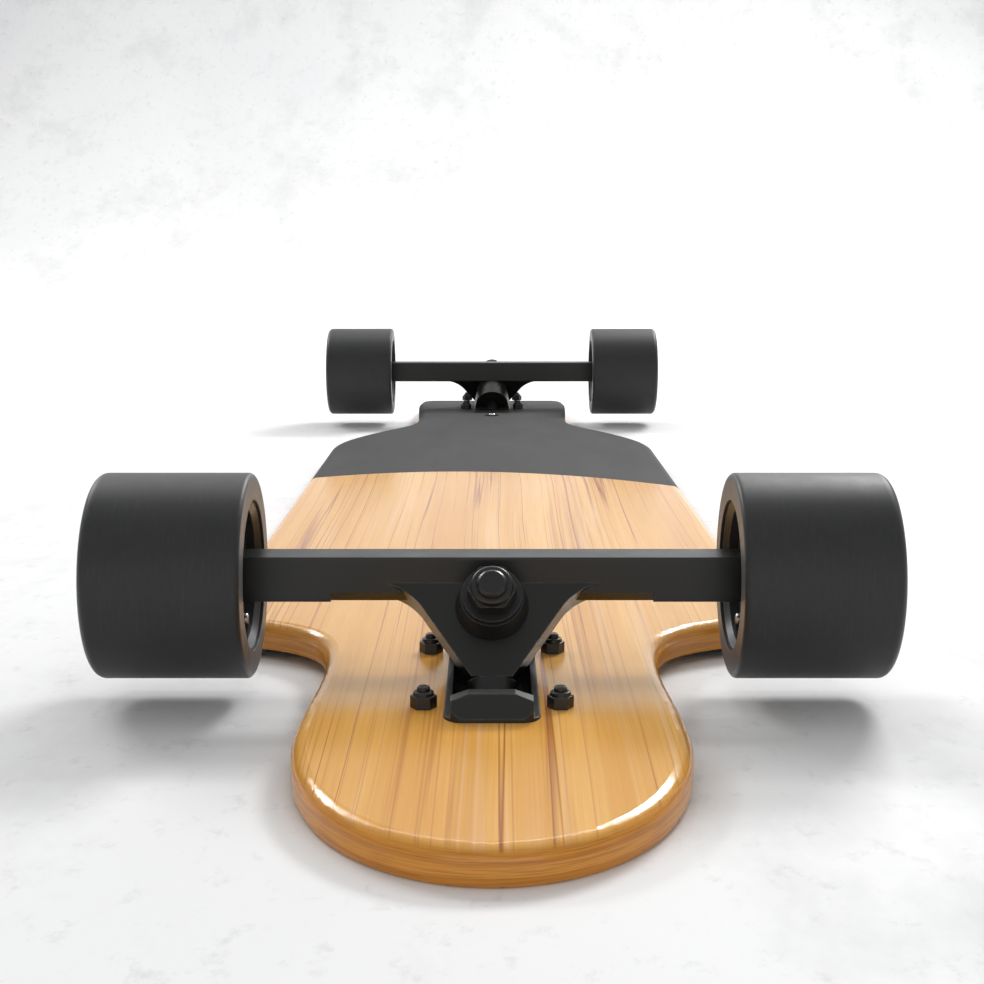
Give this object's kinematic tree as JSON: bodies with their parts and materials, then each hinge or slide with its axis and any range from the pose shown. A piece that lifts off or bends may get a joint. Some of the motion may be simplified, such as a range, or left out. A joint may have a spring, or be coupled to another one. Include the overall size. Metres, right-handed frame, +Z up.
{
  "type": "electric skateboard",
  "caption": "Drop-through electric longboard lying deck down, with bamboo deck, built-in battery, sprung steering trucks, hub-motor rear wheels and plain front wheels.",
  "frame": {"origin": "bottom centre of the whole object as it lies grip side down", "axes": "+Z up, out of the underside of the deck towards the wheels; +Y along the board from the tail to the nose; +X across"},
  "size_m": [0.2598, 1.0004, 0.0765],
  "materials": {
    "bamboo": "clear gloss lacquer over bamboo, dark grey gloss paint at the front",
    "black_panel": "satin black",
    "black_steel": "black oxide, satin",
    "grip": "black abrasive grit",
    "cell_wrap": "blue heat-shrink film",
    "circuit": "green solder mask",
    "aluminium": "plain",
    "black_plastic": "fine moulded texture",
    "black_plastic_core": "moulded nylon",
    "button_metal": "bright",
    "truck_black": "satin black powder coat",
    "bushing_urethane": "satin black urethane",
    "steel": "zinc plated",
    "wheel_urethane": "matt black urethane with fine turning marks",
    "bearing_steel": "polished",
    "motor_black": "black anodised",
    "magnet": "nickel plated",
    "lamination": "electrical steel sheets",
    "copper": "enamelled copper wire"
  },
  "bodies": {
    "board": {"battery_cells": "cell_wrap", "bms_board": "circuit", "button_bezel": "black_plastic", "button_switch": "black_plastic", "charge_port": "black_plastic", "deck": "bamboo", "electronics_lid": "black_panel", "front_baseplate": "truck_black", "front_boardside_bushing": "bushing_urethane", "front_bushing_washers": "black_steel", "front_kingpin": "black_steel", "front_kingpin_nut": "black_steel", "front_mount_bolts": "black_steel", "front_mount_nuts": "black_steel", "front_pivot_cup": "bushing_urethane", "front_roadside_bushing": "bushing_urethane", "grip_tape": "grip", "heat_plate": "aluminium", "lid_screws": "black_steel", "motor_controller": "circuit", "radio_receiver": "circuit", "rear_baseplate": "truck_black", "rear_boardside_bushing": "bushing_urethane", "rear_bushing_washers": "black_steel", "rear_kingpin": "black_steel", "rear_kingpin_nut": "black_steel", "rear_mount_bolts": "black_steel", "rear_mount_nuts": "black_steel", "rear_pivot_cup": "bushing_urethane", "rear_roadside_bushing": "bushing_urethane"},
    "rear_truck": {"rear_axle": "steel", "rear_axle_nuts": "black_steel", "rear_bearing_races": "bearing_steel", "rear_hanger": "truck_black", "rear_stators": "lamination", "rear_windings": "copper"},
    "rear_left_wheel": {"rear_left_bearings": "bearing_steel", "rear_left_cover_screws": "steel", "rear_left_magnets": "magnet", "rear_left_motor_cover": "motor_black", "rear_left_rotor_shell": "motor_black", "rear_left_tyre": "wheel_urethane"},
    "rear_right_wheel": {"rear_right_bearings": "bearing_steel", "rear_right_cover_screws": "steel", "rear_right_magnets": "magnet", "rear_right_motor_cover": "motor_black", "rear_right_rotor_shell": "motor_black", "rear_right_tyre": "wheel_urethane"},
    "front_truck": {"front_axle": "steel", "front_axle_nuts": "black_steel", "front_axle_spacers": "steel", "front_bearing_races": "bearing_steel", "front_hanger": "truck_black"},
    "front_left_wheel": {"front_left_bearings": "bearing_steel", "front_left_tyre": "wheel_urethane", "front_left_wheel_core": "black_plastic_core"},
    "front_right_wheel": {"front_right_bearings": "bearing_steel", "front_right_tyre": "wheel_urethane", "front_right_wheel_core": "black_plastic_core"},
    "power_button": {"power_button": "button_metal"}
  },
  "joints": [
    {"name": "rear_steer", "type": "hinge", "parent": "board", "child": "rear_truck", "pos_m": [0, -0.3507, 0.0317], "axis": [0, 0.5878, 0.809], "range_deg": [-10, 10], "stiffness_Nm_per_rad": 30, "deforming": ["rear_boardside_bushing", "rear_roadside_bushing"]},
    {"name": "rear_left_spin", "type": "hinge", "parent": "rear_truck", "child": "rear_left_wheel", "pos_m": [0, -0.34285, 0.0425], "axis": [1, 0, 0], "continuous": true},
    {"name": "rear_right_spin", "type": "hinge", "parent": "rear_truck", "child": "rear_right_wheel", "pos_m": [0, -0.34285, 0.0425], "axis": [1, 0, 0], "continuous": true},
    {"name": "front_steer", "type": "hinge", "parent": "board", "child": "front_truck", "pos_m": [0, 0.4258, 0.0317], "axis": [0, -0.5878, 0.809], "range_deg": [-10, 10], "stiffness_Nm_per_rad": 30, "deforming": ["front_boardside_bushing", "front_roadside_bushing"]},
    {"name": "front_left_spin", "type": "hinge", "parent": "front_truck", "child": "front_left_wheel", "pos_m": [0, 0.41795, 0.0425], "axis": [1, 0, 0], "continuous": true},
    {"name": "front_right_spin", "type": "hinge", "parent": "front_truck", "child": "front_right_wheel", "pos_m": [0, 0.41795, 0.0425], "axis": [1, 0, 0], "continuous": true},
    {"name": "power_press", "type": "slide", "parent": "board", "child": "power_button", "axis": [0, 0, -1], "range_m": [0, 0.001], "stiffness_N_per_m": 400}
  ]
}
